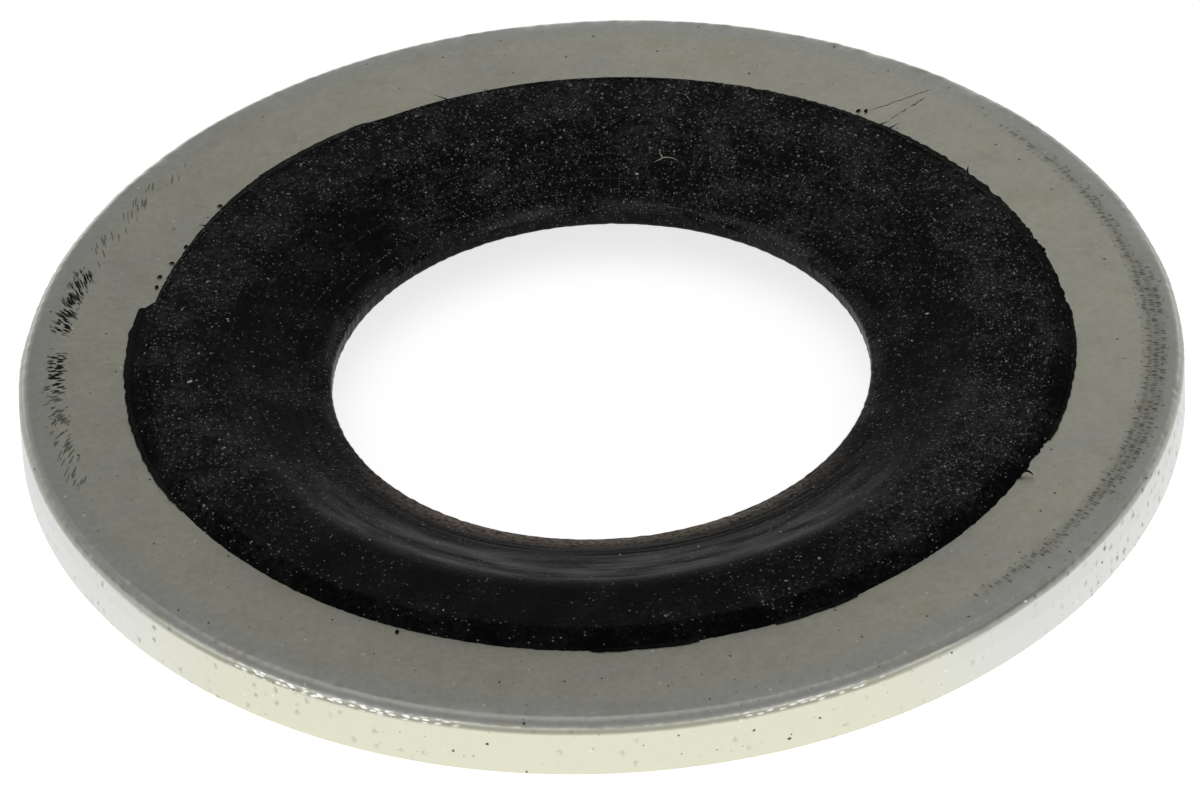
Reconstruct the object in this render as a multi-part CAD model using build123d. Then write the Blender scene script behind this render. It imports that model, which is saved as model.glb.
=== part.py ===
from build123d import *
import os
from math import radians, sin

# Bonded sealing washer: a blanked steel ring with a rubber seal moulded and bonded into its hole.
# Millimetres. The bolt's axis is Z. The washer lies on its lower crown, whose flat is z = 0,
# with the rolled edge of the steel on top.

# Steel ring
ring_diameter = 25.4     # across the sheared outer wall
ring_hole = 16.9         # punched hole, filled by the rubber
ring_thickness = 1.5     # sheet thickness
roll_width = 0.95        # how far the blanking die pulled the upper face down, from the wall inward
roll_slope = 9.0         # degrees, the pulled face's slope where it meets the corner
roll_corner = 0.29       # radius of the corner between the pulled face and the wall
burr_break = 0.05        # bevel on the lower outer edge

# Rubber seal
seal_overlap = 1.86      # how far the rubber reaches over each steel face, from the hole's wall
crown_rise = 0.27        # height of each crown above its steel face
flank_width = 0.40       # radial width of a crown's outer flank
crown_width = 1.56       # radial width of a crown's flat
crown_outer_round = 0.12
crown_inner_round = 0.50

# Lip that grips the bolt
lip_diameter = 11.75     # across the lip's land, a little under the bolt
lip_thickness = 0.39
lip_round = 0.13         # on both edges of the land
lip_offset = 0.15        # how far the lip stands above the middle of the steel

ring_bottom = crown_rise
ring_top = ring_bottom + ring_thickness
washer_height = ring_top + crown_rise


def steel_washer():
    """The ring: flat faces, a plain punched hole, a sheared wall and a rolled upper edge."""
    hole = ring_hole / 2
    wall = ring_diameter / 2
    slope = radians(roll_slope)
    roll_radius = (roll_width - roll_corner * (1 - sin(slope))) / sin(slope)
    with BuildPart() as ring:
        with BuildSketch(Plane.XZ):
            with BuildLine():
                face = Line((hole, ring_top), (wall - roll_width, ring_top))
                roll = JernArc(face @ 1, (1, 0), roll_radius, -roll_slope)
                corner = JernArc(roll @ 1, roll % 1, roll_corner, roll_slope - 90)
                Polyline(
                    corner @ 1,
                    (wall, ring_bottom + burr_break),
                    (wall - burr_break, ring_bottom),
                    (hole, ring_bottom),
                    face @ 0,
                )
            make_face()
        revolve(axis=Axis.Z)
    return ring.part


def rubber_seal():
    """The rubber: a crown on each steel face, joined through the hole, and a web down to the lip."""
    foot = ring_hole / 2 + seal_overlap
    crown_outer = foot - flank_width
    crown_inner = crown_outer - crown_width
    lip = lip_diameter / 2
    lip_middle = washer_height / 2 + lip_offset
    lip_top = lip_middle + lip_thickness / 2
    lip_bottom = lip_middle - lip_thickness / 2
    corners = [
        (foot, ring_bottom, 0),
        (foot, ring_top, 0),
        (crown_outer, washer_height, crown_outer_round),
        (crown_inner, washer_height, crown_inner_round),
        (lip, lip_top, lip_round),
        (lip, lip_bottom, lip_round),
        (crown_inner, 0, crown_inner_round),
        (crown_outer, 0, crown_outer_round),
    ]
    with BuildPart() as seal:
        with BuildSketch(Plane.XZ):
            with BuildLine():
                FilletPolyline(
                    *[(r, z) for r, z, _ in corners],
                    radius=[radius for _, _, radius in corners],
                    close=True,
                )
            make_face()
            with Locations((ring_hole / 2, ring_bottom)):
                Rectangle(seal_overlap, ring_thickness, align=Align.MIN, mode=Mode.SUBTRACT)
        revolve(axis=Axis.Z)
    return seal.part


os.makedirs("parts", exist_ok=True)
for name, make in {"steel_washer": steel_washer, "rubber_seal": rubber_seal}.items():
    export_step(make(), f"parts/{name}.step")
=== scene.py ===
import logging
import math
from dataclasses import dataclass, field
from enum import Enum
from functools import partial
from typing import Any, Callable

import bpy
import numpy as np
from mathutils import Matrix, Vector


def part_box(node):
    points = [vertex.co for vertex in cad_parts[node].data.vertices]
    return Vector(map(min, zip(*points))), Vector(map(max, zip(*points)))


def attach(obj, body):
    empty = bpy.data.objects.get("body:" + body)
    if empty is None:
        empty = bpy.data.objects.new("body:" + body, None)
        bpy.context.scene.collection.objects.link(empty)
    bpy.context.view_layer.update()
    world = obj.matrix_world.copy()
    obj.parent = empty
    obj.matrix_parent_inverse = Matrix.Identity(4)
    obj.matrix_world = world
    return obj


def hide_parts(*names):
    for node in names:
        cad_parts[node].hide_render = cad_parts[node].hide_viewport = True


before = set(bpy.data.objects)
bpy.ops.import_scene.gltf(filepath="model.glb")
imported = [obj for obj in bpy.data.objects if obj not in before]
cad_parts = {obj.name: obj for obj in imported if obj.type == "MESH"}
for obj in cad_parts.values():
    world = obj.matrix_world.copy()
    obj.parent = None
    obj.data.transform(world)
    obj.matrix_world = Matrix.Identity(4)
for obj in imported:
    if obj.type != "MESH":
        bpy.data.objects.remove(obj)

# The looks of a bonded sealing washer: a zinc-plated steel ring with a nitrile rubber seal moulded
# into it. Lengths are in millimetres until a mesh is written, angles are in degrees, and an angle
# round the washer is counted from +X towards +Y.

MM = 0.001
PER_METRE = 1000.0
BODY = "root"
LOG = logging.getLogger("sealing_washer")
Adder = Callable[..., bpy.types.Node]


def linear(colour: str) -> tuple[float, float, float, float]:
    """Turn an sRGB hex colour into linear RGBA.

    Args:
        colour: Six hex digits after a hash sign.

    Returns:
        Linear red, green and blue, with full opacity.
    """
    coded = [int(colour[i:i + 2], 16) / 255 for i in (1, 3, 5)]
    light = [c / 12.92 if c <= 0.04045 else ((c + 0.055) / 1.055) ** 2.4 for c in coded]
    return (*light, 1.0)


def add_node(
    tree: bpy.types.NodeTree, kind: str, inputs: dict | None = None, **settings: Any
) -> bpy.types.Node:
    """Add one node with its settings, values and links.

    Args:
        tree: The node tree that takes it.
        kind: The node's type, without its ShaderNode prefix.
        inputs: Each input's name or number, with its value, or the socket or node that feeds it.
            A node feeds it from the first output that it has in use.
        settings: The node's own properties.

    Returns:
        The new node.
    """
    node = tree.nodes.new("ShaderNode" + kind)
    for name, value in settings.items():
        setattr(node, name, value)
    for name, value in (inputs or {}).items():
        if isinstance(value, bpy.types.Node):
            value = next(output for output in value.outputs if output.enabled)
        if isinstance(value, bpy.types.NodeSocket):
            tree.links.new(value, node.inputs[name])
        else:
            node.inputs[name].default_value = value
    return node


def start_nodes(owner: bpy.types.Material | bpy.types.World) -> Adder:
    """Give a material or a world an empty node tree.

    Args:
        owner: The material or world.

    Returns:
        The function that adds a node to it, which is add_node with its tree filled in.
    """
    owner.use_nodes = True
    owner.node_tree.nodes.clear()
    return partial(add_node, owner.node_tree)


def read_surface(
    add: Adder, names: tuple[str, ...]
) -> tuple[bpy.types.Node, bpy.types.Node, dict[str, bpy.types.NodeSocket]]:
    """Read where a point of a piece is and how it is painted.

    Args:
        add: Adds a node to the material.
        names: The painted weights to read.

    Returns:
        Its place on the piece and on the unrolled surface, both in millimetres, and its weights.
    """
    where = add("TexCoord")
    place = add("VectorMath", {0: where.outputs["Object"], 1: (PER_METRE,) * 3}, operation="MULTIPLY")
    unrolled = add("UVMap", uv_map="unrolled")
    return place, unrolled, {name: add("Attribute", attribute_name=name).outputs["Fac"] for name in names}


def window(values: np.ndarray, low: float, high: float, soft: float) -> np.ndarray:
    """Weigh the values that lie between two limits.

    Args:
        values: The values to weigh.
        low: Where the weight has risen to a half.
        high: Where it has fallen to a half again.
        soft: Width of the rise and of the fall.

    Returns:
        Weights from 0 to 1.
    """
    rise = np.clip((values - low) / soft + 0.5, 0, 1)
    fall = np.clip((high - values) / soft + 0.5, 0, 1)
    return rise * rise * (3 - 2 * rise) * fall * fall * (3 - 2 * fall)


def turned_from(angle: np.ndarray, middle: float) -> np.ndarray:
    """Give angles as degrees from a middle one, from -180 to 180."""
    return (angle - middle + 180) % 360 - 180


def polar(angle: float, radius: float, height: float) -> Vector:
    """Give the point at an angle, radius and height."""
    turn = math.radians(angle)
    return Vector((radius * math.cos(turn), radius * math.sin(turn), height))


def put_in_scene(name: str, data: bpy.types.ID) -> bpy.types.Object:
    """Put a mesh, a lamp's light or a camera's data into the scene as an object."""
    made = bpy.data.objects.new(name, data)
    bpy.context.scene.collection.objects.link(made)
    return made


@dataclass(frozen=True)
class Arc:
    """A stretch of the washer's circle, with soft ends.

    Attributes:
        start: Angle where its weight has risen to a half.
        end: Angle where its weight has fallen to a half again.
        soft: Length of each soft end, in degrees.
        share: Its full weight.
    """

    start: float
    end: float
    soft: float
    share: float = 1.0

    def weigh(self, angle: np.ndarray) -> np.ndarray:
        """Weigh how far angles lie in the stretch."""
        middle = (self.start + self.end) / 2
        off = turned_from(angle, middle)
        return self.share * window(off, self.start - middle, self.end - middle, self.soft)


# ---------------------------------------------------------------- turned shapes


@dataclass(frozen=True)
class Corner:
    """A corner of a section, where two straight runs meet.

    Attributes:
        radius: Distance from the axis.
        height: Height above the floor.
        round: Radius of the rounding, 0 for a sharp corner.
        step: Spacing of the points on the run that follows.
    """

    radius: float
    height: float
    round: float = 0.0
    step: float = 0.5


def bend(before: Corner, here: Corner, after: Corner) -> list[np.ndarray]:
    """Give the points of one corner's rounding.

    Args:
        before: The corner that comes before.
        here: The corner to round.
        after: The corner that follows.

    Returns:
        The points in order, one for each 6 degrees, or the corner alone if it is sharp.
    """
    place = np.array([here.radius, here.height])
    if not here.round:
        return [place]
    back = np.array([before.radius, before.height]) - place
    on = np.array([after.radius, after.height]) - place
    back, on = back / np.linalg.norm(back), on / np.linalg.norm(on)
    half = math.acos(float(back @ on)) / 2
    middle = (back + on) / np.linalg.norm(back + on)
    centre = place + middle * here.round / math.sin(half)
    start = place + back * here.round / math.tan(half) - centre
    end = place + on * here.round / math.tan(half) - centre
    sweep = math.pi - 2 * half
    shares = np.linspace(0, 1, 3 + round(math.degrees(sweep) / 6))
    return [
        centre + (math.sin((1 - s) * sweep) * start + math.sin(s * sweep) * end) / math.sin(sweep)
        for s in shares
    ]


def trace(corners: list[Corner]) -> np.ndarray:
    """Trace a closed section through its corners.

    Args:
        corners: The corners, counter-clockwise in radius and height.

    Returns:
        The section's points, one row each, with no point given twice.
    """
    befores, afters = corners[-1:] + corners[:-1], corners[1:] + corners[:1]
    bends = [bend(b, c, a) for b, c, a in zip(befores, corners, afters)]
    points: list[np.ndarray] = []
    for corner, here, after in zip(corners, bends, bends[1:] + bends[:1]):
        run = after[0] - here[-1]
        parts = max(1, round(float(np.linalg.norm(run)) / corner.step))
        points += [*here, *(here[-1] + run * i / parts for i in range(1, parts))]
    kept = [p for p, q in zip(points, points[-1:] + points[:-1]) if np.linalg.norm(p - q) > 1e-3]
    return np.array(kept)


@dataclass
class Turning:
    """A closed section swept round the axis, held as a grid that can be pushed out of true.

    Attributes:
        section: The section's points, one row each.
        turns: Steps round the axis.
        seam: Angle where the unrolled pattern starts and ends.
        girth: Radius at which the unrolled pattern has its true length.
    """

    section: np.ndarray
    turns: int
    seam: float
    girth: float
    radius: np.ndarray = field(init=False)
    height: np.ndarray = field(init=False)
    angle: np.ndarray = field(init=False)
    run: np.ndarray = field(init=False)

    def __post_init__(self) -> None:
        """Lay out the grid."""
        ahead = np.roll(self.section, -1, axis=0) - self.section
        length = np.linalg.norm(ahead, axis=1)
        along = np.concatenate([[0.0], np.cumsum(length)[:-1]])
        degrees = self.seam + np.arange(self.turns) * 360 / self.turns
        self.angle, self.run = np.meshgrid(degrees, along, indexing="ij")
        self.radius = np.broadcast_to(self.section[:, 0], self.angle.shape).copy()
        self.height = np.broadcast_to(self.section[:, 1], self.angle.shape).copy()

    def outward(self) -> tuple[np.ndarray, np.ndarray]:
        """Give the section's outward direction at each point, as radial and upward parts."""
        tangent = np.roll(self.section, -1, axis=0) - np.roll(self.section, 1, axis=0)
        tangent /= np.linalg.norm(tangent, axis=1)[:, None]
        return tangent[:, 1], -tangent[:, 0]

    def push(self, amount: np.ndarray) -> None:
        """Move each point along the section's outward direction by its own amount."""
        radial, upward = self.outward()
        self.radius += amount * radial
        self.height += amount * upward

    def ripple(
        self, rng: np.random.Generator, waves: int, around: tuple[int, int], across: float
    ) -> np.ndarray:
        """Sum random waves that close round the ring.

        Args:
            rng: Source of the waves.
            waves: How many are summed.
            around: Fewest and most wave crests in one turn.
            across: Most wave crests in one millimetre along the section.

        Returns:
            A height for each grid point, about -2 to 2.
        """
        total = np.zeros_like(self.angle)
        for _ in range(waves):
            phase = np.radians(self.angle) * int(rng.integers(*around))
            phase += self.run * rng.uniform(-across, across) * math.tau
            total += np.cos(phase + rng.uniform(0, math.tau))
        return total * math.sqrt(2 / waves)

    def to_object(self, name: str, paints: dict[str, np.ndarray]) -> bpy.types.Object:
        """Write the grid as a closed mesh.

        Args:
            name: The object's name.
            paints: Named weights on the grid, which the finish reads.

        Returns:
            The new object, smooth except at sharp corners, unrolled as the map "unrolled".
        """
        turns, count = self.angle.shape
        around = np.radians(self.angle)
        places = np.stack([self.radius * np.cos(around), self.radius * np.sin(around), self.height], -1)
        ring, point = np.meshgrid(np.arange(turns), np.arange(count), indexing="ij")
        next_ring, next_point = (ring + 1) % turns, (point + 1) % count
        quads = np.stack(
            [ring * count + point, next_ring * count + point,
             next_ring * count + next_point, ring * count + next_point], -1
        ).reshape(-1, 4)
        mesh = bpy.data.meshes.new(name)
        mesh.from_pydata((places.reshape(-1, 3) * MM).tolist(), [], quads.tolist())
        arc = np.radians(360 / turns) * self.girth
        closing = np.linalg.norm(self.section[0] - self.section[-1])
        step = np.append(self.run[0], self.run[0, -1] + closing)
        left, low = ring * arc, step[point]
        right, high = (ring + 1) * arc, step[point + 1]
        corners = np.stack([left, low, right, low, right, high, left, high], -1)
        mesh.uv_layers.new(name="unrolled").uv.foreach_set("vector", corners.ravel().astype(np.float32))
        for title, weights in paints.items():
            layer = mesh.attributes.new(title, "FLOAT", "POINT")
            layer.data.foreach_set("value", weights.ravel().astype(np.float32))
        mesh.shade_smooth()
        mesh.set_sharp_from_angle(angle=math.radians(32))
        return put_in_scene(name, mesh)


# ---------------------------------------------------------------- finishes


@dataclass(frozen=True)
class Marks:
    """Scattered marks of one kind on the unrolled surface, such as pits, gouges or dust.

    Attributes:
        pitch: Mean spacing of the marks round the washer.
        length: Mean spacing across it; a mark is as much longer as this is more than the pitch.
        size: Radius of a mark, as a share of the spacing.
        ragged: How far the marks' outlines wander, as a share of the spacing.
        uneven: How irregularly they lie, from 0 for a grid to 1.
        soft: Share of the radius over which a mark fades.
    """

    pitch: float
    length: float
    size: float
    ragged: float = 0.3
    uneven: float = 1.0
    soft: float = 0.5

    def draw(
        self, add: Adder, unrolled: bpy.types.Node, lean: Any = 0.0, dense: Any = 1.0
    ) -> tuple[bpy.types.Node, bpy.types.NodeSocket]:
        """Draw the marks.

        Args:
            add: Adds a node to the material.
            unrolled: Unrolled position in millimetres.
            lean: How far the pattern is shifted round the washer.
            dense: Share of the places that hold a mark.

        Returns:
            The marks' weight, and a number from 0 to 1 that is random for each mark.
        """
        parts = add("SeparateXYZ", {0: unrolled})
        around = add("Math", {0: parts.outputs[0], 1: lean}, operation="ADD")
        column = add("Math", {0: around, 1: self.pitch}, operation="DIVIDE")
        row = add("Math", {0: parts.outputs[1], 1: self.length}, operation="DIVIDE")
        flat = add("CombineXYZ", {0: column, 1: row})
        wander = add("TexNoise", {"Vector": flat, "Scale": 2.6, "Detail": 1.0}, noise_dimensions="2D")
        moved = add(
            "VectorMath",
            {0: wander.outputs["Color"], 1: (2 * self.ragged,) * 3, 2: flat},
            operation="MULTIPLY_ADD",
        )
        cells = add(
            "TexVoronoi",
            {"Vector": moved, "Scale": 1.0, "Randomness": self.uneven},
            voronoi_dimensions="2D",
        )
        spot = add(
            "MapRange",
            {"Value": cells.outputs["Distance"], "From Min": self.size * (1 - self.soft),
             "From Max": self.size, "To Min": 1.0, "To Max": 0.0},
            interpolation_type="SMOOTHSTEP",
        )
        draw = add("SeparateColor", {0: cells.outputs["Color"]})
        held = add("Math", {0: draw.outputs[0], 1: dense}, operation="LESS_THAN")
        marked = add("Math", {0: spot, 1: held}, operation="MULTIPLY")
        return marked, draw.outputs[1]


@dataclass(frozen=True)
class Rings:
    """Fine rings that a turned mould leaves, broken along their length.

    Attributes:
        pitch: Spacing of the rings across the section.
        width: Width of one ring.
        reach: Mean length of an unbroken stretch.
    """

    pitch: float
    width: float
    reach: float

    def draw(self, add: Adder, unrolled: bpy.types.Node) -> bpy.types.Node:
        """Draw the rings.

        Args:
            add: Adds a node to the material.
            unrolled: Unrolled position in millimetres.

        Returns:
            The rings' weight.
        """
        parts = add("SeparateXYZ", {0: unrolled})
        across = add("Math", {0: parts.outputs[1], 1: self.pitch}, operation="DIVIDE")
        off = add("Math", {0: across, 1: 0.5}, operation="PINGPONG")
        thin = add(
            "MapRange",
            {"Value": off, "From Max": 0.7 * self.width / self.pitch, "To Min": 1.0, "To Max": 0.0},
            interpolation_type="SMOOTHSTEP",
        )
        along = add("Math", {0: parts.outputs[0], 1: self.reach}, operation="DIVIDE")
        line = add("Math", {0: across}, operation="ROUND")
        flat = add("CombineXYZ", {0: along, 1: line})
        broken = add(
            "TexNoise",
            {"Vector": flat, "Scale": 1.7, "Detail": 5.0, "Roughness": 0.7},
            noise_dimensions="2D",
        )
        kept = add("MapRange", {"Value": broken, "From Min": 0.42, "From Max": 0.68})
        return add("Math", {0: thin, 1: kept}, operation="MULTIPLY")


@dataclass(frozen=True)
class Scratch:
    """One straight scratch on the upper face.

    Attributes:
        start: X and Y of its first end.
        heading: Its direction, from +X.
        length: Its length.
        width: Its full width.
    """

    start: tuple[float, float]
    heading: float
    length: float
    width: float

    def draw(self, add: Adder, place: bpy.types.Node, wobble: bpy.types.Node) -> bpy.types.Node:
        """Draw the scratch as a broken line.

        Args:
            add: Adds a node to the material.
            place: Position on the piece in millimetres.
            wobble: Noise from 0 to 1 that bends and breaks it.

        Returns:
            The scratch's weight.
        """
        turn = math.radians(-self.heading)
        shift = Matrix.Rotation(turn, 3, "Z") @ Vector((-self.start[0], -self.start[1], 0))
        laid = add("Mapping", {"Vector": place, "Location": shift, "Rotation": (0, 0, turn)})
        parts = add("SeparateXYZ", {0: laid})
        drift = add("Math", {0: wobble, 1: 3 * self.width, 2: parts.outputs[1]}, operation="MULTIPLY_ADD")
        across = add("Math", {0: drift, 1: 1.5 * self.width}, operation="SUBTRACT")
        off = add("Math", {0: across}, operation="ABSOLUTE")
        thin = add(
            "MapRange",
            {"Value": off, "From Min": 0.2 * self.width, "From Max": 0.7 * self.width, "To Min": 1.0,
             "To Max": 0.0},
        )
        middle = add("Math", {0: parts.outputs[0], 1: 0.5 * self.length}, operation="SUBTRACT")
        reach = add("Math", {0: middle}, operation="ABSOLUTE")
        ends = add(
            "MapRange",
            {"Value": reach, "From Min": 0.42 * self.length, "From Max": 0.56 * self.length,
             "To Min": 1.0, "To Max": 0.0},
        )
        kept = add("MapRange", {"Value": wobble, "From Min": 0.36, "From Max": 0.5})
        line = add("Math", {0: thin, 1: ends}, operation="MULTIPLY")
        return add("Math", {0: line, 1: kept}, operation="MULTIPLY")


@dataclass(frozen=True)
class ZincPlatedSteel:
    """Zinc-plated steel, blanked from sheet and tumbled: a satin olive grey with a paler sheared wall."""

    face: str = "#E3E2D0"
    bloom: str = "#D2D4D1"
    stain: str = "#C8BE98"
    wall: str = "#E4E3D0"
    silver: str = "#E0E1DF"
    # Bare steel for the chatter, also laid as painted shade on the edge.
    bare_steel_and_shade: str = "#5A5A4C"
    torn: str = "#1E1E18"
    pit: str = "#38332A"
    smudge: str = "#746850"
    glint: str = "#F4F4EA"
    # Near white of the beads' painted highlight.
    painted_highlight_colour: tuple[float, ...] = (1.0, 1.0, 0.98, 1.0)
    # Sizes of the plating's clouds, stains and crystals, and how much the painted shade darkens one side.
    clouds: float = 5 / 3
    stains: float = 2 / 3
    crystals: float = 1 / 7
    depth: float = 0.21
    # Roughness of the faces, of the rolled corner and of the beads.
    satin: float = 0.46
    burnished: float = 0.38
    bright: float = 0.2
    # Shares of the places that hold a pit, a glint or a grain of grit, and what moves the glints
    # off the pits.
    pit_share: float = 0.16
    glint_share: float = 0.12
    glint_shift: float = 5.0
    grit_share: float = 0.6
    flecks: Marks = Marks(pitch=0.8, length=0.8, size=0.055, ragged=0.08, soft=0.8)
    grit: Marks = Marks(pitch=0.36, length=0.36, size=0.075, ragged=0.1, soft=0.9)
    chatter: Marks = Marks(pitch=0.09, length=0.17, size=0.6, ragged=0.22, uneven=0.5, soft=0.7)
    gouges: Marks = Marks(pitch=0.09, length=0.22, size=0.56, ragged=0.3, uneven=0.9, soft=0.4)
    smudges: Marks = Marks(pitch=0.27, length=0.31, size=0.34, ragged=0.24, soft=0.9)
    # Bright beads of painted highlight along the edge.
    highlight_beads: Marks = Marks(pitch=0.24, length=0.075, size=0.46, ragged=0.2, uneven=0.8, soft=0.7)
    scratches: tuple[Scratch, ...] = (
        Scratch(start=(6.71, 8.18), heading=43.0, length=1.05, width=0.04),
        Scratch(start=(6.22, 8.51), heading=26.0, length=1.55, width=0.03),
    )

    def make(self) -> bpy.types.Material:
        """Make the material.

        Returns:
            The material. It reads the weights that SteelWasher paints.
        """
        material = bpy.data.materials.new("zinc_plated_steel")
        add = start_nodes(material)
        names = ("wall", "corner", "roll", "chatter", "gouge", "lean", "smudge", "painted_shade",
                 "silver", "edge", "painted_highlight_weight")
        place, unrolled, paint = read_surface(add, names)

        # The plating clouds from olive to blue grey over a few millimetres, bluest on the roll,
        # with faint yellow stains.
        cloud = add("TexNoise", {"Vector": place, "Scale": 1 / self.clouds, "Detail": 3.0, "Roughness": 0.6})
        clouded = add("MapRange", {"Value": cloud, "From Min": 0.4, "From Max": 0.7, "To Max": 0.45})
        blue = add("Math", {0: clouded, 1: paint["roll"]}, operation="MAXIMUM")
        stain = add("TexNoise", {"Vector": place, "Scale": 1 / self.stains, "Detail": 2.0})
        stained = add("MapRange", {"Value": stain, "From Min": 0.5, "From Max": 0.7, "To Max": 0.2})
        hue = linear(self.face)
        for weight, laid in ((blue, self.bloom), (stained, self.stain)):
            hue = add("Mix", {0: weight, 6: hue, 7: linear(laid)}, data_type="RGBA")

        # Mottling of the plating's crystals, coarser than the real grain so that it shows. Painted shade
        # darkens the faces on the side turned away from 35 degrees.
        mottle = add("TexNoise", {"Vector": place, "Scale": 1 / self.crystals, "Detail": 3.0})
        mottled = add(
            "MapRange",
            {"Value": mottle, "From Min": 0.3, "From Max": 0.7, "To Min": 0.95, "To Max": 1.05},
        )
        tone = add("Math", {0: paint["painted_shade"], 1: -self.depth, 2: mottled}, operation="MULTIPLY_ADD")
        colour = add("VectorMath", {0: hue, 1: tone}, operation="MULTIPLY")

        # The sheared wall, cream where the sheet's oil has dried and silver elsewhere, with smudges.
        sheared = add(
            "Mix", {0: paint["silver"], 6: linear(self.wall), 7: linear(self.silver)}, data_type="RGBA"
        )
        colour = add("Mix", {0: paint["wall"], 6: colour, 7: sheared}, data_type="RGBA")
        smudged, shade = self.smudges.draw(add, unrolled, dense=paint["smudge"])
        for weight in (1.7, shade, paint["smudge"], paint["wall"]):
            smudged = add("Math", {0: smudged, 1: weight}, operation="MULTIPLY")

        # Painted shade on the edge between the roll and the wall makes it dull and dark, with bright beads of
        # painted highlight along it.
        dull = add("Math", {0: paint["edge"], 1: 0.62}, operation="MULTIPLY")
        painted_highlights, _ = self.highlight_beads.draw(add, unrolled, dense=paint["painted_highlight_weight"])
        painted_highlights = add("Math", {0: painted_highlights, 1: paint["painted_highlight_weight"]}, operation="MULTIPLY")

        # Chatter marks near the rim: fine radial stitches on a slightly dulled band, and gouges.
        struck, shade = self.chatter.draw(add, unrolled, dense=paint["chatter"])
        shaded = add("MapRange", {"Value": shade, "To Min": 0.2, "To Max": 0.65})
        dulled = add("Math", {0: paint["chatter"], 1: 0.24}, operation="MULTIPLY")
        dark = add("Math", {0: struck, 1: shaded, 2: dulled}, operation="MULTIPLY_ADD")
        gouged, _ = self.gouges.draw(add, unrolled, paint["lean"], paint["gouge"])
        cut = add("MapRange", {"Value": paint["gouge"], "To Min": 0.35, "To Max": 1.0})
        gouged = add("Math", {0: gouged, 1: cut}, operation="MULTIPLY")

        # Pits and scratches down to brown steel, fine grit, and a few bright glints.
        pitted, _ = self.flecks.draw(add, unrolled, dense=self.pit_share)
        for scratch in self.scratches:
            pitted = add("Math", {0: pitted, 1: scratch.draw(add, place, mottle)}, operation="MAXIMUM")
        glinting, _ = self.flecks.draw(add, unrolled, self.glint_shift, self.glint_share)
        fine, shade = self.grit.draw(add, unrolled, dense=self.grit_share)
        shaded = add("Math", {0: shade, 1: 3.0}, operation="POWER")
        gritty = add("Math", {0: fine, 1: shaded}, operation="MULTIPLY")
        speckled = add("Math", {0: pitted, 1: gritty}, operation="MAXIMUM")
        # The dark steel colour goes on the chatter and, as painted shade, on the edge; the near white goes on
        # the beads as painted highlight.
        bare_steel_and_shade = linear(self.bare_steel_and_shade)
        for weight, laid in (
            (smudged, linear(self.smudge)), (dull, bare_steel_and_shade), (painted_highlights, self.painted_highlight_colour), (dark, bare_steel_and_shade),
            (gouged, linear(self.torn)), (speckled, linear(self.pit)), (glinting, linear(self.glint)),
        ):
            colour = add("Mix", {0: weight, 6: colour, 7: laid}, data_type="RGBA")

        # Satin on the faces, burnished where the die rolled the corner over, shiniest on the beads of painted
        # highlight.
        rough = add("MapRange", {"Value": mottle, "To Min": self.satin - 0.05, "To Max": self.satin + 0.05})
        for weight, value in ((paint["corner"], self.burnished), (painted_highlights, self.bright)):
            rough = add("Mix", {0: weight, 2: rough, 3: value}, data_type="FLOAT")
        relief = add("Math", {0: struck, 1: gouged}, operation="ADD")
        relief = add("Math", {0: relief, 1: -1.0, 2: mottle}, operation="MULTIPLY_ADD")
        bump = add("Bump", {"Strength": 0.5, "Distance": 0.012 * MM, "Height": relief})
        plated = add("Math", {0: 1.0, 1: pitted}, operation="SUBTRACT", use_clamp=True)
        shader = add(
            "BsdfPrincipled",
            {"Base Color": colour, "Metallic": plated, "Roughness": rough, "Normal": bump},
        )
        add("OutputMaterial", {"Surface": shader})
        return material


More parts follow.
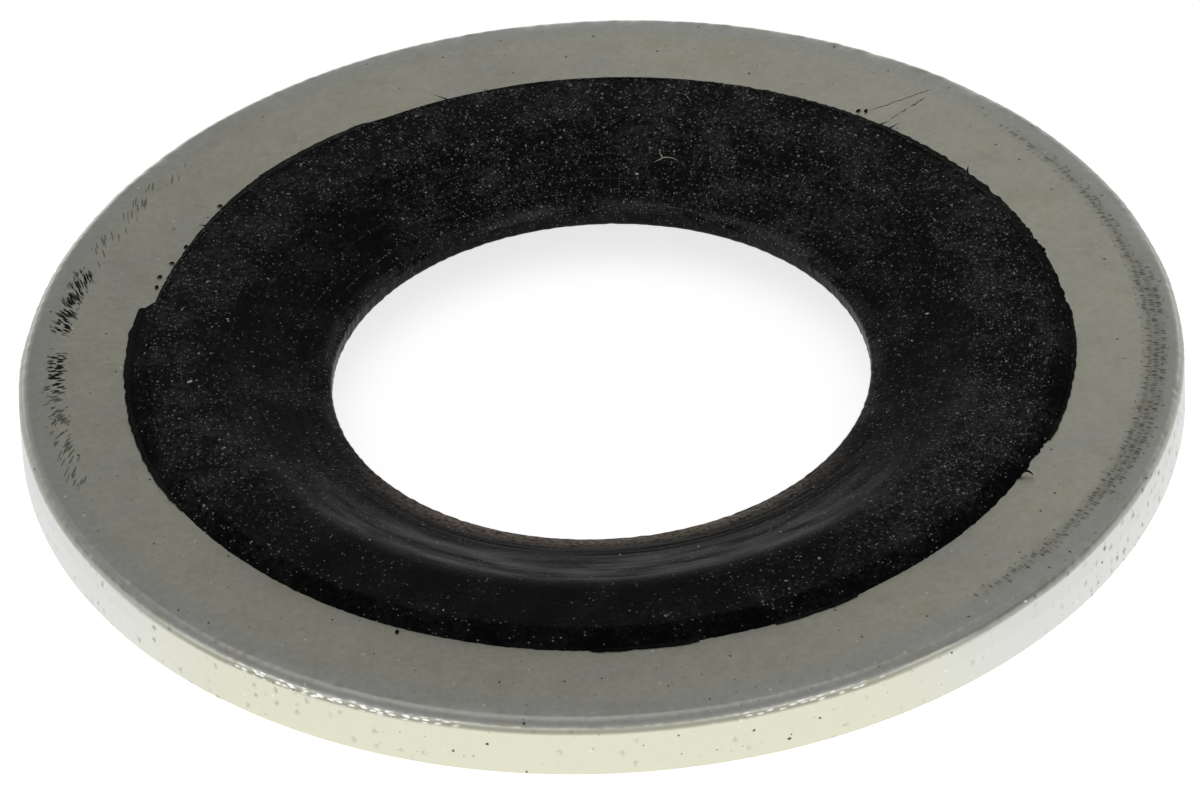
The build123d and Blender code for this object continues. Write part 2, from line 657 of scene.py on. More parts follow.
@dataclass(frozen=True)
class NitrileRubber:
    """Black nitrile rubber, compression moulded: satin, dusty, with the mould's fine turning lines."""

    black: str = "#040405"
    worn: str = "#323233"
    # Grey of the painted sheen on the funnel and lip.
    bloom: str = "#646465"
    # Brown grey of the painted sheen on the lip's near side.
    lip: str = "#968778"
    dust: str = "#A6A7A3"
    # Sizes of the handled patches and of the grain, and length and width of a streak of painted sheen.
    patches: float = 1.25
    grains: float = 1 / 9
    sheen_length: float = 2.0
    sheen_width: float = 1 / 3
    # Roughness of the clean rubber and of dust and flank, and how much the rubber reflects.
    satin: float = 0.34
    matt: float = 0.8
    gloss: float = 0.08
    dusts: Marks = Marks(pitch=0.07, length=0.07, size=0.36, ragged=0.25, soft=0.8)
    specks: Marks = Marks(pitch=0.3, length=0.3, size=0.11, ragged=0.15)
    rings: Rings = Rings(pitch=0.36, width=0.045, reach=3.0)

    def make(self) -> bpy.types.Material:
        """Make the material.

        Returns:
            The material. It reads the weights that RubberSeal paints.
        """
        material = bpy.data.materials.new("nitrile_rubber")
        add = start_nodes(material)
        names = ("dusty", "ringed", "lip", "bloom", "flank")
        place, unrolled, paint = read_surface(add, names)

        # Black, greyer in grains where it was handled, with painted sheen: brown grey on the lip's near side,
        # and grey in streaks round part of the funnel and faintly round the lip elsewhere.
        patch = add("TexNoise", {"Vector": place, "Scale": 1 / self.patches, "Detail": 5.0, "Roughness": 0.7})
        patched = add("MapRange", {"Value": patch, "From Min": 0.42, "From Max": 0.62})
        grain = add("TexNoise", {"Vector": place, "Scale": 1 / self.grains, "Detail": 2.0, "Roughness": 0.65})
        rubbed = add("Math", {0: patched, 1: 0.26, 2: grain}, operation="MULTIPLY_ADD")
        rubbed = add("MapRange", {"Value": rubbed, "From Min": 0.54, "From Max": 0.82})
        kept = add("Math", {0: paint["dusty"], 1: 1.6, 2: 0.25}, operation="MULTIPLY_ADD", use_clamp=True)
        rubbed = add("Math", {0: rubbed, 1: kept}, operation="MULTIPLY")
        grainy = add("MapRange", {"Value": grain, "From Min": 0.3, "From Max": 0.6})
        painted_lip_sheen = add("Math", {0: grainy, 1: paint["lip"]}, operation="MULTIPLY")
        sheen_place = add("Mapping", {"Vector": unrolled, "Scale": (1 / self.sheen_length, 1 / self.sheen_width, 1.0)})
        sheen_noise = add("TexNoise", {"Vector": sheen_place, "Scale": 1.0, "Detail": 4.0}, noise_dimensions="2D")
        painted_sheen = add("MapRange", {"Value": sheen_noise, "From Min": 0.35, "From Max": 0.7})
        painted_sheen = add("Math", {0: painted_sheen, 1: paint["bloom"]}, operation="MULTIPLY")

        # Dust: fine grains of every shade, thicker in patches and along the mould's turning rings,
        # and a few larger specks. The grains are drawn at twice their true size, so that they show.
        ringed = self.rings.draw(add, unrolled)
        ringed = add("Math", {0: ringed, 1: paint["ringed"]}, operation="MULTIPLY")
        cover = add("Math", {0: patched, 1: 0.3, 2: paint["dusty"]}, operation="MULTIPLY_ADD")
        cover = add("Math", {0: cover, 1: ringed}, operation="ADD")
        fine, shade = self.dusts.draw(add, unrolled, dense=cover)
        strength = add("Math", {0: shade, 1: 3.5}, operation="POWER")
        strength = add("Math", {0: ringed, 1: 0.45, 2: strength}, operation="MULTIPLY_ADD")
        fine = add("Math", {0: fine, 1: strength}, operation="MULTIPLY")
        coarse, shade = self.specks.draw(add, unrolled, dense=paint["dusty"])
        coarse = add("Math", {0: coarse, 1: shade}, operation="MULTIPLY")
        traced = add("Math", {0: ringed, 1: grainy}, operation="MULTIPLY")
        coarse = add("Math", {0: traced, 1: 0.07, 2: coarse}, operation="MULTIPLY_ADD")
        dusted = add("Math", {0: fine, 1: coarse}, operation="MAXIMUM")
        colour = linear(self.black)
        for weight, laid in (
            (rubbed, self.worn), (painted_lip_sheen, self.lip), (painted_sheen, self.bloom), (dusted, self.dust),
        ):
            colour = add("Mix", {0: weight, 6: colour, 7: linear(laid)}, data_type="RGBA")

        # Satin, and matt on the dust and on the flank, which the mould left dull.
        dull = add("Math", {0: dusted, 1: paint["flank"]}, operation="MAXIMUM")
        rough = add("MapRange", {"Value": dull, "To Min": self.satin, "To Max": self.matt})
        height = add("Math", {0: ringed, 1: 0.5, 2: grain}, operation="MULTIPLY_ADD")
        bump = add("Bump", {"Strength": 0.55, "Distance": 0.014 * MM, "Height": height})
        shader = add(
            "BsdfPrincipled",
            {"Base Color": colour, "Roughness": rough, "IOR": 1.5, "Specular IOR Level": self.gloss,
             "Normal": bump},
        )
        add("OutputMaterial", {"Surface": shader})
        return material


@dataclass(frozen=True)
class PaperDust:
    """Flakes and fibres of packing paper, torn: matt off-white with a little grey."""

    pale: str = "#E8E4D4"
    grey: str = "#B4B1A4"
    fibres: float = 1 / 12
    matt: float = 0.9

    def make(self) -> bpy.types.Material:
        """Make the material."""
        material = bpy.data.materials.new("paper_dust")
        add = start_nodes(material)
        where = add("TexCoord")
        fibre = add("TexNoise", {"Vector": where.outputs["Object"], "Scale": PER_METRE / self.fibres})
        colour = add("Mix", {0: fibre, 6: linear(self.grey), 7: linear(self.pale)}, data_type="RGBA")
        shader = add("BsdfPrincipled", {"Base Color": colour, "Roughness": self.matt})
        add("OutputMaterial", {"Surface": shader})
        return material


# ---------------------------------------------------------------- sub-assemblies


@dataclass
class SteelWasher:
    """The blanked ring, with its rolled upper edge, sheared wall and rim marks."""

    hole: float = 16.9
    roll_width: float = 0.95
    roll_slope: float = 9.0
    roll_corner: float = 0.29
    burr: float = 0.05
    turns: int = 1200
    seam: float = 95.0
    nicks: int = 46
    rim_depth: float = 0.36
    # Heights of the rim's knocks, of the sway of its edge and of the wall's shear lines.
    knock: float = 0.0028
    sway: float = 0.003
    shear: float = 0.002
    # Where the wall is cream, where the painted shade on the shear line is a thin line and where it is
    # widest.
    creamy: Arc = Arc(220, 304, 30)
    near: Arc = Arc(218, 304, 24)
    far: Arc = Arc(15, 115, 30)
    # Where bright beads of painted highlight lie, and where the wall is smudged and the face gouged most.
    painted_highlights: tuple[Arc, ...] = (Arc(229, 254, 6), Arc(279, 297, 6, 0.7))
    smudged: tuple[Arc, ...] = (Arc(320, 364, 18, 0.34), Arc(206, 238, 16, 0.14))
    gouged: tuple[Arc, ...] = (
        Arc(160, 171, 2.5), Arc(174.5, 181, 2), Arc(140, 163, 5, 0.3), Arc(169, 181, 4, 0.12),
        Arc(181, 198, 4, 0.5),
    )
    gouge_inner: float = 11.66
    gouge_outer: float = 12.14
    chatter_inner: float = 11.8
    chatter_drift: float = 0.0045
    name: str = "steel_ring"

    def __post_init__(self) -> None:
        """Take the ring's outer size and faces from the frame."""
        low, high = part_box("steel_washer")
        self.wall = high.x / MM
        self.bottom = low.z / MM
        self.top = high.z / MM

    def corners(self) -> list[Corner]:
        """Give the section's corners, from the hole's lower edge outward."""
        slope = math.radians(self.roll_slope)
        roll = (self.roll_width - self.roll_corner * (1 - math.sin(slope))) / math.sin(slope)
        shoulder = self.wall - self.roll_width + roll * math.tan(slope / 2)
        drop = (self.wall - shoulder) * math.tan(slope)
        return [
            Corner(self.hole / 2, self.bottom, step=0.35),
            Corner(self.wall - self.burr, self.bottom, step=0.04),
            Corner(self.wall, self.bottom + self.burr, step=0.08),
            Corner(self.wall, self.top - drop, self.roll_corner),
            Corner(shoulder, self.top, roll, step=0.16),
            Corner(self.hole / 2, self.top, step=1.0),
        ]

    def build(self, rng: np.random.Generator) -> bpy.types.Object:
        """Turn the ring, knock its edges out of true and paint the weights of its finish.

        Args:
            rng: Source of the small irregularities.

        Returns:
            The ring's object.
        """
        ring = Turning(trace(self.corners()), self.turns, self.seam, self.wall)
        _, upward = ring.outward()
        facing = np.broadcast_to(upward, ring.angle.shape)
        tilt = np.degrees(np.arccos(np.clip(facing, -1, 1)))
        upper = ring.height > (self.top + self.bottom) / 2
        wall = window(tilt, 70, 135, 12) * (ring.radius > self.hole / 2 + 1)
        corner = upper * window(tilt, 11, 88, 5)
        roll = upper * window(ring.radius, self.wall - 0.75, self.wall + 1, 0.7) * (1 - wall)
        # Painted shade: the faces darken towards the side turned away from 35 degrees, less on the corner.
        lit = np.cos(np.radians(turned_from(ring.angle, 35)))
        painted_shade = np.clip(0.5 - 0.62 * lit, 0, 1) * (1 - 0.9 * window(tilt, 16, 66, 10))

        # Painted shade on the shear line, in place of its dark reflection: a thin dark line on the near side,
        # a wider dull band elsewhere.
        rim = window(ring.height, self.top - self.rim_depth, self.top, 0.03)
        near, far = self.near.weigh(ring.angle), self.far.weigh(ring.angle)
        south = -np.sin(np.radians(ring.angle))
        dull = np.clip(0.82 + 0.16 * south, 0, 1) * window(tilt, 44 + 8 * south - 16 * far, 86, 12)
        edge = near * window(tilt, 73, 104, 10) * rim + (1 - near) * dull
        # Bright beads of painted highlight on two stretches of the edge.
        highlight_beads = sum(arc.weigh(ring.angle) for arc in self.painted_highlights)
        ring.push(self.edge_wear(ring, rng, corner, wall))
        gouge, lean = self.gouge(ring)
        paints = {
            "wall": wall, "corner": corner, "roll": 0.8 * roll, "painted_shade": painted_shade,
            "chatter": upper * self.chatter(ring), "gouge": upper * gouge, "lean": lean,
            "smudge": 0.18 + sum(arc.weigh(ring.angle) for arc in self.smudged),
            "edge": upper * edge, "painted_highlight_weight": window(tilt, 62, 100, 12) * rim * highlight_beads,
            "silver": 1 - self.creamy.weigh(ring.angle),
        }
        return ring.to_object(self.name, paints)

    def edge_wear(
        self, ring: Turning, rng: np.random.Generator, corner: np.ndarray, wall: np.ndarray
    ) -> np.ndarray:
        """Work out how far the rim and wall are knocked in or out.

        Args:
            ring: The turned ring.
            rng: Source of the irregularities.
            corner: Weight of the rolled corner.
            wall: Weight of the sheared wall.

        Returns:
            The push for each grid point.
        """
        knocks = self.knock * corner * ring.ripple(rng, 60, (90, 330), 0.6)
        sway = self.sway * (corner + wall) * ring.ripple(rng, 20, (5, 40), 0.2)
        lines = self.shear * wall * ring.ripple(rng, 60, (150, 520), 0.25)
        dented = np.zeros_like(ring.angle)
        rim_run = float(ring.run[0][np.argmax(corner[0])])
        for _ in range(self.nicks):
            place = rng.uniform(0, 360)
            width, depth = rng.uniform(0.05, 0.12), rng.uniform(0.005, 0.018)
            run = rim_run + rng.uniform(-0.1, 0.5)
            around = np.radians(turned_from(ring.angle, place)) * self.wall / width
            across = (ring.run - run) / (width * rng.uniform(0.6, 1.6))
            dented -= depth * np.exp(-around ** 2 - across ** 2)
        return knocks + sway + lines + dented

    def chatter(self, ring: Turning) -> np.ndarray:
        """Lay out the fine chatter band on the right, which narrows towards the far side.

        Args:
            ring: The turned ring.

        Returns:
            How dense the marks are.
        """
        right = turned_from(ring.angle, 0)
        inner = self.chatter_inner + self.chatter_drift * np.clip(right, 0, 60)
        width = np.interp(right, (-47, -15, 5, 30, 45), (0.32, 0.48, 0.42, 0.2, 0.14))
        strength = np.interp(right, (-52, -44, -12, 10, 30, 47), (0, 0.9, 1, 1, 0.85, 0))
        return strength * window(ring.radius - inner, 0, width, 0.05)

    def gouge(self, ring: Turning) -> tuple[np.ndarray, np.ndarray]:
        """Lay out the deeper gouges on the left, which lean one way and then the other.

        Args:
            ring: The turned ring.

        Returns:
            How dense the gouges are, and how far they lean round the washer.
        """
        left = turned_from(ring.angle, 178)
        middle = (self.gouge_inner + self.gouge_outer) / 2
        dense = np.clip(sum(arc.weigh(ring.angle) for arc in self.gouged), 0, 1)
        slant = np.radians(np.clip(-4 * left, -58, 58)) * (abs(left) < 45)
        band = window(ring.radius, self.gouge_inner, self.gouge_outer, 0.14)
        return band * dense, np.tan(slant) * (ring.radius - middle)

    def dress(self, made: bpy.types.Object, finish: bpy.types.Material) -> None:
        """Give the ring its finish and its place in the frame."""
        made.data.materials.append(finish)
        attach(made, BODY)
        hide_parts("steel_washer")


@dataclass
class RubberSeal:
    """The moulded rubber: two crowns, the web through the ring's hole and the lip."""

    hole: float = 16.9
    flank: float = 0.40
    crown: float = 1.56
    outer_round: float = 0.12
    inner_round: float = 1.60
    lip_diameter: float = 11.75
    lip_thickness: float = 0.39
    lip_round: float = 0.13
    lip_offset: float = 0.15
    turns: int = 720
    seam: float = 215.0
    mould_step: float = 0.17
    # Heights of the mould's turning marks and waves, the lip's fray, a groove and the split line.
    turned: float = 0.002
    wave: float = 0.004
    fray: float = 0.0035
    groove: float = 0.006
    split: float = 0.008
    # Where the foot is torn most, the near and far sides, and where dust lies thick (back) or thin.
    ragged: Arc = Arc(-38, 72, 20)
    near: Arc = Arc(220, 316, 40)
    far: Arc = Arc(43, 167, 50)
    back: Arc = Arc(54, 122, 30, 0.34)
    west: Arc = Arc(128, 260, 40, 0.34)
    front: Arc = Arc(228, 292, 30, 0.12)
    clean: Arc = Arc(126, 174, 24, 0.22)
    name: str = "seal_rubber"

    def __post_init__(self) -> None:
        """Take the seal's outer size and faces from the frame."""
        steel_low, steel_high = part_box("steel_washer")
        low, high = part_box("rubber_seal")
        self.foot = high.x / MM
        self.base = low.z / MM
        self.top = high.z / MM
        self.ring_bottom = steel_low.z / MM
        self.ring_top = steel_high.z / MM
        self.crown_outer = self.foot - self.flank
        self.crown_inner = self.crown_outer - self.crown
        self.lip = self.lip_diameter / 2
        middle = (self.base + self.top) / 2 + self.lip_offset
        self.lip_top = middle + self.lip_thickness / 2
        self.lip_bottom = middle - self.lip_thickness / 2

    def height_at(self, radius: float) -> float:
        """Give the height of the upper surface at a radius."""
        if radius >= self.foot:
            return self.ring_top
        if radius >= self.crown_outer:
            return self.ring_top + (self.top - self.ring_top) * (self.foot - radius) / self.flank
        if radius >= self.crown_inner:
            return self.top
        share = (radius - self.lip) / (self.crown_inner - self.lip)
        return self.lip_top + share * (self.top - self.lip_top)

    def corners(self) -> list[Corner]:
        """Give the section's corners, from the lip's lower edge outward."""
        return [
            Corner(self.lip, self.lip_bottom, self.lip_round, step=0.2),
            Corner(self.crown_inner, self.base, self.inner_round, step=0.2),
            Corner(self.crown_outer, self.base, self.outer_round, step=0.15),
            Corner(self.foot, self.ring_bottom, step=1.0),
            Corner(self.hole / 2, self.ring_bottom, step=0.8),
            Corner(self.hole / 2, self.ring_top, step=1.0),
            Corner(self.foot, self.ring_top, step=0.05),
            Corner(self.crown_outer, self.top, self.outer_round, step=0.12),
            Corner(self.crown_inner, self.top, self.inner_round, step=0.055),
            Corner(self.lip, self.lip_top, self.lip_round, step=0.07),
        ]

    def build(self, rng: np.random.Generator) -> bpy.types.Object:
        """Turn the seal, add the mould's marks and paint the weights of its finish.

        Args:
            rng: Source of the small irregularities.

        Returns:
            The seal's object.
        """
        seal = Turning(trace(self.corners()), self.turns, self.seam, self.crown_inner)
        _, upward = seal.outward()
        upper = np.broadcast_to(upward > 0.3, seal.angle.shape)
        free = (abs(seal.radius - self.hole / 2) > 0.01) & (seal.radius < self.foot - 0.02)
        funnel = window(seal.radius, self.lip + 0.05, self.crown_inner - 0.1, 0.3)
        crown = window(seal.radius, self.crown_inner - 0.2, self.crown_outer - 0.05, 0.4)
        lip = window(seal.radius, self.lip - 1, self.lip + 0.22, 0.2)
        skirt = np.clip((seal.radius - self.crown_outer) / self.flank, 0, 1)
        skirt = skirt * (seal.height > self.ring_top - 0.001)

        # The mould's waves and turned grooves, the ragged lip, the split line on the flank and the
        # torn foot.
        turned = self.turned * funnel * seal.ripple(rng, 40, (0, 4), 6.0)
        waves = self.wave * crown * seal.ripple(rng, 30, (4, 60), 0.4)
        frayed = self.fray * lip * seal.ripple(rng, 50, (20, 160), 1.0)
        groove = upper * window(seal.radius, self.lip + 0.1, self.lip + 1.0, 0.15)
        groove = groove * (np.sin(seal.radius * math.tau / self.mould_step) > 0.6)
        groove = -self.groove * groove * np.clip(0.8 + seal.ripple(rng, 24, (2, 14), 3.0), 0, 2)
        split = self.split * np.exp(-((seal.radius - self.foot + 0.5 * self.flank) / 0.03) ** 2) * upper
        patchy = seal.ripple(rng, 16, (1, 7), 0.2)
        seal.push((turned + waves + frayed + groove + split) * free)
        torn = (0.006 + 0.010 * self.ragged.weigh(seal.angle)) * seal.ripple(rng, 60, (40, 340), 0.0)
        seal.radius += skirt * (self.outline(seal.angle) + torn)

        # Dust lies thickest on the crown at both sides and at the back, and least at the front.
        near, far = self.near.weigh(seal.angle), self.far.weigh(seal.angle)
        side = abs(np.cos(np.radians(seal.angle))) ** 1.5
        dusty = 0.13 + crown * (0.06 + 0.42 * side) + 0.1 * side + 0.05 * patchy + 0.12 * far
        dusty = dusty + self.back.weigh(seal.angle) - crown * self.west.weigh(seal.angle)
        dusty = dusty - self.front.weigh(seal.angle) - funnel * self.clean.weigh(seal.angle)
        rim = seal.radius < self.lip + 0.16
        # Painted sheen: grey in streaks round the funnel's near side and fainter round the lip elsewhere, and
        # brown grey on the lip's near side.
        faint_painted_sheen = 0.35 * window(seal.radius, self.lip - 1, self.lip + 0.25, 0.3) * (1 - near)
        paints = {
            "dusty": np.clip(upper * dusty * (1 - 1.1 * skirt) + 0.3 * rim, 0, 1),
            "ringed": funnel * upper * (0.2 + 0.8 * far),
            "lip": window(seal.radius, self.lip - 1, self.lip + 0.4, 0.6) * near,
            "bloom": upper * (near * window(seal.radius, 7.0, 8.1, 0.4) + faint_painted_sheen),
            "flank": upper * window(seal.radius, self.crown_outer - 0.1, self.foot + 1, 0.12),
        }
        return seal.to_object(self.name, paints)

    def outline(self, angle: np.ndarray | float) -> np.ndarray:
        """Give how far the crown's foot strays from its circle, where flash tore or crept."""
        stray = [
            (4, 0.04), (8, -0.025), (98, -0.02), (105, -0.11), (116, -0.13), (119, 0.02), (134, 0.02),
            (141, -0.05), (152, -0.17), (164.4, -0.23), (165.2, 0.0), (206, 0.0), (222, -0.06),
            (250, -0.05), (268, 0.02), (284, -0.03), (297, 0.02), (304, -0.06), (334, -0.09), (342, 0.03),
        ]
        angles, amounts = zip(*stray)
        return np.interp(angle % 360, angles, amounts, period=360)

    def dress(self, made: bpy.types.Object, finish: bpy.types.Material) -> None:
        """Give the seal its finish and its place in the frame."""
        made.data.materials.append(finish)
        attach(made, BODY)
        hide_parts("rubber_seal")


class Slivers:
    """A mesh of small closed bits, gathered one by one."""

    def __init__(self) -> None:
        """Start with no bits."""
        self.vertices: list[Vector] = []
        self.faces: list[tuple[int, ...]] = []

    def add_rod(self, sections: list[list[Vector]]) -> None:
        """Add a rod, closed at both ends.

        Args:
            sections: Its sections in order, each anticlockwise as one looks along the rod.
        """
        first, sides = len(self.vertices), len(sections[0])
        last = first + sides * (len(sections) - 1)
        self.vertices += [point for section in sections for point in section]
        for here in range(first, last, sides):
            for j in range(sides):
                k = (j + 1) % sides
                self.faces.append((here + j, here + sides + j, here + sides + k, here + k))
        self.faces.append(tuple(range(first, first + sides)))
        self.faces.append(tuple(reversed(range(last, last + sides))))

    def add_lens(self, rim: list[Vector], top: Vector, bottom: Vector) -> None:
        """Add a lens, which closes a rim with a fan to a point above it and one below."""
        first, sides = len(self.vertices), len(rim)
        self.vertices += [*rim, top, bottom]
        for i in range(sides):
            here, ahead = first + i, first + (i + 1) % sides
            self.faces += [(here, ahead, first + sides), (ahead, here, first + sides + 1)]

    def to_object(self, name: str) -> bpy.types.Object:
        """Write the bits as one mesh."""
        mesh = bpy.data.meshes.new(name)
        mesh.from_pydata([v * MM for v in self.vertices], [], self.faces)
        return put_in_scene(name, mesh)


def ridge(centre: Vector, aside: Vector, half: float, steep: float) -> list[Vector]:
    """Give a three-cornered section: its left foot, its right foot and its top."""
    return [centre + aside * half, centre - aside * half, centre + Vector((0, 0, steep * half))]


class Shred(Enum):
    """How a loose bit of flash stands at the crown's foot."""

    SPIKE = "spike"
    CURL = "curl"
    CRUMB = "crumb"


@dataclass
class MouldFlash:
    """The thin torn film that the mould left round the upper crown's foot, and its loose shreds."""

    seal: RubberSeal
    thickness: float = 0.035
    overlap: float = 0.06
    sunk: float = 0.002
    step: float = 0.25
    shred_overlap: float = 0.04
    crumb_length: float = 0.13
    shred_steps: int = 6
    name: str = "mould_flash"

    def runs(self) -> list[tuple[float, float, float]]:
        """Give each run of film: its first and last angle, and its width beyond the foot."""
        return [
            (165.4, 207.0, 0.075), (267.0, 280.0, 0.055),
            (289.5, 300.5, 0.04), (338.5, 364.5, 0.055),
        ]

    def shreds(self) -> list[tuple[Shred, float, float, float]]:
        """Give each shred: its form, its angle, how far it reaches out, and its heading."""
        return [
            (Shred.SPIKE, 107.3, 0.24, 52.0), (Shred.CURL, 330.2, 0.20, 25.0),
            (Shred.SPIKE, 165.2, 0.13, 60.0), (Shred.CRUMB, 54.0, 0.26, 10.0),
            (Shred.CRUMB, 55.0, 0.10, -30.0), (Shred.SPIKE, 51.0, 0.15, -50.0),
            (Shred.SPIKE, 49.6, 0.19, -35.0), (Shred.CRUMB, 243.5, 0.07, 0.0),
            (Shred.CRUMB, 158.4, -0.16, 50.0), (Shred.CRUMB, 160.4, -0.22, 85.0),
            (Shred.CRUMB, 151.6, -0.30, 80.0), (Shred.CRUMB, 155.5, -0.34, 20.0),
            (Shred.CRUMB, 142.6, -0.12, 40.0), (Shred.SPIKE, 147.0, 0.02, 60.0),
            (Shred.SPIKE, 36.0, 0.08, 40.0), (Shred.CRUMB, 17.0, -0.06, 80.0),
        ]

    def build(self, rng: np.random.Generator) -> bpy.types.Object:
        """Make the film and its shreds as one mesh of closed slivers.

        Args:
            rng: Source of the torn edge.

        Returns:
            The flash's object.
        """
        rods = [self.film(rng, *run) for run in self.runs()]
        rods += [self.shred(*shred) for shred in self.shreds()]
        slivers = Slivers()
        for rod in rods:
            slivers.add_rod(rod)
        made = slivers.to_object(self.name)
        made.data.uv_layers.new(name="unrolled")
        return made

    def film(
        self, rng: np.random.Generator, start: float, end: float, width: float
    ) -> list[list[Vector]]:
        """Give the sections of one run of film.

        Args:
            rng: Source of the torn edge.
            start: Its first angle.
            end: Its last angle.
            width: How far it reaches beyond the foot.

        Returns:
            The sections in order.
        """
        count = round((end - start) / self.step)
        tear = np.convolve(rng.normal(0, 1, count + 7), np.ones(4) / 4, "same")
        inner = self.seal.foot - self.overlap
        low, high = self.seal.ring_top - self.sunk, self.seal.ring_top + self.thickness
        sections = []
        for i in range(count + 1):
            angle = start + (end - start) * i / count
            taper = min(1.0, 4 * i / count + 0.5, 4 * (count - i) / count + 0.3)
            outer = self.seal.foot + max(0.01, width * taper * (1 + 0.35 * tear[i + 3]))
            edge = high + self.thickness * (0.25 * tear[i] - 0.15)
            profile = ((inner, low), (outer, low), (outer, edge), (inner, high))
            sections.append([polar(angle, radius, height) for radius, height in profile])
        return sections

    def shred(self, form: Shred, angle: float, reach: float, heading: float) -> list[list[Vector]]:
        """Give the sections of one loose shred, a tapering three-sided strip.

        Args:
            form: How it stands.
            angle: Where it stands round the washer.
            reach: How far it reaches beyond the foot.
            heading: How far it leans from the outward direction.

        Returns:
            The sections, from its root to its tip.
        """
        outward = polar(angle, 1.0, 0.0)
        way = Matrix.Rotation(math.radians(heading), 3, "Z") @ outward
        aside = Vector((-way.y, way.x, 0))
        root_width = {Shred.SPIKE: 0.055, Shred.CURL: 0.12, Shred.CRUMB: 0.07}[form]
        root = float(self.seal.outline(angle)) - self.shred_overlap
        length = (reach - root) / math.cos(math.radians(heading) / 2)
        if form is Shred.CRUMB:
            root, length = 0.5 * reach, self.crumb_length
        start = outward * (self.seal.foot + root)
        start.z = self.seal.ring_top + 0.012
        sections = []
        for i in range(self.shred_steps + 1):
            share = i / self.shred_steps
            rise = {Shred.SPIKE: 0.10 * share, Shred.CURL: 0.11 * math.sin(2.6 * share),
                    Shred.CRUMB: 0.02 * math.sin(math.pi * share)}[form]
            hook = 0.1 * math.sin(2.8 * share) if form is Shred.CURL else 0.0
            centre = start + way * length * share + aside * hook + Vector((0, 0, rise))
            half = root_width * (0.5 if form is not Shred.CRUMB else 0.75 * math.sin(2.6 * share + 0.3))
            half *= 1.04 - share if form is Shred.SPIKE else 1 - 0.5 * share
            sections.append(ridge(centre, aside, half, 0.9))
        return sections

    def dress(self, made: bpy.types.Object, finish: bpy.types.Material) -> None:
        """Give the flash the rubber's finish and its place in the frame."""
        made.data.materials.append(finish)
        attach(made, BODY)


@dataclass
class Lint:
    """Paper flakes and one forked fibre that lie on the seal."""

    seal: RubberSeal
    scattered: int = 34
    flake_sides: int = 6
    hair_steps: int = 5
    sunk: float = 0.02
    name: str = "paper_lint"

    def flakes(self) -> list[tuple[float, float, float, float, float]]:
        """Give the flakes that stand out: angle, radius, length, width and heading."""
        return [
            (183.0, 8.96, 0.17, 0.085, 35.0), (102.9, 10.02, 0.15, 0.12, -60.0),
            (7.9, 7.24, 0.12, 0.07, 10.0), (81.5, 6.86, 0.10, 0.09, 0.0),
        ]

    def build(self, rng: np.random.Generator) -> bpy.types.Object:
        """Make the flakes and the fibre as one mesh.

        Args:
            rng: Source of the scattered flakes' places and sizes.

        Returns:
            The lint's object.
        """
        slivers = Slivers()
        for angle, radius, length, width, heading in self.flakes():
            slivers.add_lens(*self.flake(self.place(angle, radius), length, width, heading))
        for _ in range(self.scattered):
            spot = self.place(rng.uniform(0, 360), rng.uniform(6.3, 9.7))
            length = rng.uniform(0.035, 0.075)
            slivers.add_lens(*self.flake(spot, length, 0.6 * length, rng.uniform(0, 180)))
        fork = Vector((1.61, 7.17))
        hairs = [(fork, tip, 0.034) for tip in ((1.42, 7.08), (1.93, 7.06), (1.55, 7.38))]
        hairs.append((Vector((2.16, 9.13)), (2.29, 8.78), 0.012))
        for root, tip, width in hairs:
            slivers.add_rod(self.hair(root, Vector(tip), width))
        made = slivers.to_object(self.name)
        made.data.shade_smooth()
        return made

    def place(self, angle: float, radius: float) -> Vector:
        """Give the point of the seal's upper surface at an angle and radius."""
        return polar(angle, radius, self.seal.height_at(radius))

    def flake(
        self, spot: Vector, length: float, width: float, heading: float
    ) -> tuple[list[Vector], Vector, Vector]:
        """Give one flake, a low six-sided lens.

        Args:
            spot: The point that it lies on.
            length: Its length.
            width: Its width.
            heading: Direction of its length, from +X.

        Returns:
            Its rim, its top and its bottom.
        """
        turn = Matrix.Rotation(math.radians(heading), 3, "Z")
        rim = []
        for i in range(self.flake_sides):
            spoke = math.tau * i / self.flake_sides + 0.4 * math.sin(5 * i)
            corner = Vector((0.5 * length * math.cos(spoke), 0.5 * width * math.sin(spoke), 0.2 * width))
            rim.append(spot + turn @ corner)
        return rim, spot + Vector((0, 0, 0.45 * width)), spot - Vector((0, 0, self.sunk))

    def hair(self, root: Vector, tip: Vector, width: float) -> list[list[Vector]]:
        """Give the sections of one hair of a fibre, a tapering three-sided rod laid on the seal.

        Args:
            root: X and Y of its thick end.
            tip: X and Y of its thin end.
            width: Its thickness at the root.

        Returns:
            The sections, from its root to its tip.
        """
        aside = Vector((root.y - tip.y, tip.x - root.x, 0)).normalized()
        sections = []
        for i in range(self.hair_steps + 1):
            share = i / self.hair_steps
            flat = root.lerp(tip, share)
            height = self.seal.height_at(flat.length) + 0.02 * math.sin(3 * share)
            centre = Vector((flat.x, flat.y, height))
            centre += aside * 0.025 * math.sin(math.pi * share)
            sections.append(ridge(centre, aside, 0.5 * width * (1.1 - 0.7 * share), 1.6))
        return sections

    def dress(self, made: bpy.types.Object, finish: bpy.types.Material) -> None:
        """Give the lint its finish and its place in the frame."""
        made.data.materials.append(finish)
        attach(made, BODY)


# ---------------------------------------------------------------- studio


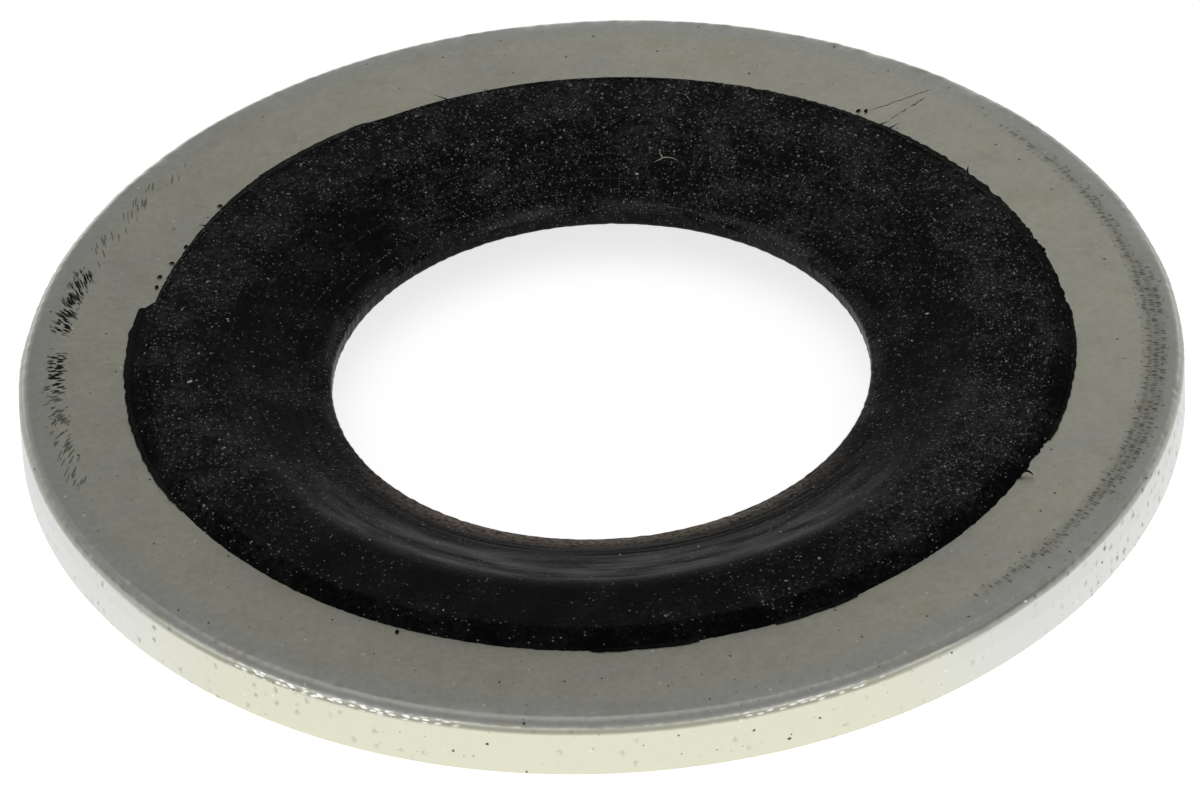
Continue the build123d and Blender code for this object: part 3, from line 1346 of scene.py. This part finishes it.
@dataclass
class Studio:
    """The pale floor, the softbox, the white surround and the camera."""

    floor_size: float = 3000.0
    floor: str = "#F4F4F4"
    floor_glow: float = 0.76
    horizon: float = 0.96
    horizon_top: float = 2.0
    overhead: float = 0.29
    overhead_from: float = 13.0
    softbox_way: tuple[float, float, float] = (-0.15, 0.1, 1.0)
    softbox_distance: float = 600.0
    softbox_size: float = 500.0
    softbox_power: float = 0.2
    camera_elevation: float = 37.326
    camera_roll: float = -2.991
    camera_distance: float = 381.0
    camera_aside: tuple[float, float] = (-0.0075, -0.782)
    image_width: float = 1200.0
    focal_pixels: float = 17500.0
    aim_height: float = 1.77

    def lay_floor(self) -> None:
        """Lay the floor: matt card, near white, which still takes the washer's shadow."""
        half = self.floor_size * MM / 2
        mesh = bpy.data.meshes.new("floor")
        corners = [(-half, -half, 0), (half, -half, 0), (half, half, 0), (-half, half, 0)]
        mesh.from_pydata(corners, [], [(0, 1, 2, 3)])
        material = bpy.data.materials.new("matt_card")
        add = start_nodes(material)
        card = add("BsdfDiffuse", {"Color": linear(self.floor)})
        path = add("LightPath")
        seen = add(
            "Math",
            {0: path.outputs["Is Camera Ray"], 1: path.outputs["Is Glossy Ray"]},
            operation="MAXIMUM",
        )
        share = add("Math", {0: seen, 1: self.floor_glow}, operation="MULTIPLY")
        white = add("Emission", {"Color": (1, 1, 1, 1), "Strength": share})
        mixed = add("AddShader", {0: card, 1: white})
        add("OutputMaterial", {"Surface": mixed})
        mesh.materials.append(material)
        put_in_scene("floor", mesh)

    def surround(self) -> None:
        """Set the world: white to the camera, and a bright horizon under a dim sky to all else."""
        world = bpy.data.worlds.new("studio")
        bpy.context.scene.world = world
        add = start_nodes(world)
        where = add("TexCoord")
        parts = add("SeparateXYZ", {0: where.outputs["Generated"]})
        low, high = (math.sin(math.radians(a)) for a in (self.horizon_top, self.overhead_from))
        sky = add(
            "MapRange",
            {"Value": parts.outputs[2], "From Min": low, "From Max": high, "To Min": self.horizon,
             "To Max": self.overhead},
            interpolation_type="SMOOTHSTEP",
        )
        path = add("LightPath")
        level = add("Math", {0: sky, 1: path.outputs["Is Camera Ray"]}, operation="MAXIMUM")
        shader = add("Background", {"Color": (1, 1, 1, 1), "Strength": level})
        add("OutputWorld", {"Surface": shader})

    def add_softbox(self) -> None:
        """Hang one square softbox that faces the washer, a little behind it and to the left."""
        light = bpy.data.lights.new("softbox", "AREA")
        light.size = self.softbox_size * MM
        light.energy = self.softbox_power
        way = Vector(self.softbox_way)
        lamp = put_in_scene("softbox", light)
        lamp.location = way.normalized() * self.softbox_distance * MM
        lamp.rotation_euler = way.to_track_quat("Z", "Y").to_euler()

    def set_camera(self) -> None:
        """Set the camera on the near side, looking down along +Y, with a long lens."""
        tilt = math.radians(self.camera_elevation)
        forward = Vector((0, math.cos(tilt), -math.sin(tilt)))
        level = Vector((1, 0, 0))
        upright = level.cross(forward)
        roll = math.radians(self.camera_roll)
        right = level * math.cos(roll) + upright * math.sin(roll)
        up = upright * math.cos(roll) - level * math.sin(roll)
        data = bpy.data.cameras.new("camera")
        data.lens = data.sensor_width * self.focal_pixels / self.image_width
        data.clip_start, data.clip_end = 0.01, 10.0
        camera = put_in_scene("camera", data)
        aim = Vector((0, 0, self.aim_height)) + right * self.camera_aside[0] + up * self.camera_aside[1]
        turn = Matrix((right, up, -forward)).transposed().to_4x4()
        camera.matrix_world = Matrix.Translation((aim - forward * self.camera_distance) * MM) @ turn
        bpy.context.scene.camera = camera

    def build(self) -> None:
        """Set up the whole studio."""
        bpy.context.scene.view_settings.view_transform = "Standard"
        self.lay_floor()
        self.surround()
        self.add_softbox()
        self.set_camera()


def main() -> None:
    """Build the washer's pieces and the studio, and report each piece."""
    logging.basicConfig(level=logging.INFO, format="%(message)s")
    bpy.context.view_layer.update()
    rubber, seal = NitrileRubber().make(), RubberSeal()
    plan = [
        (SteelWasher(), ZincPlatedSteel().make()), (seal, rubber),
        (MouldFlash(seal), rubber), (Lint(seal), PaperDust().make()),
    ]
    for seed, (piece, finish) in enumerate(plan):
        made = piece.build(np.random.default_rng(seed + 11))
        piece.dress(made, finish)
        LOG.info("%s: %d faces", made.name, len(made.data.polygons))
    Studio().build()


if __name__ == "__main__":
    main()
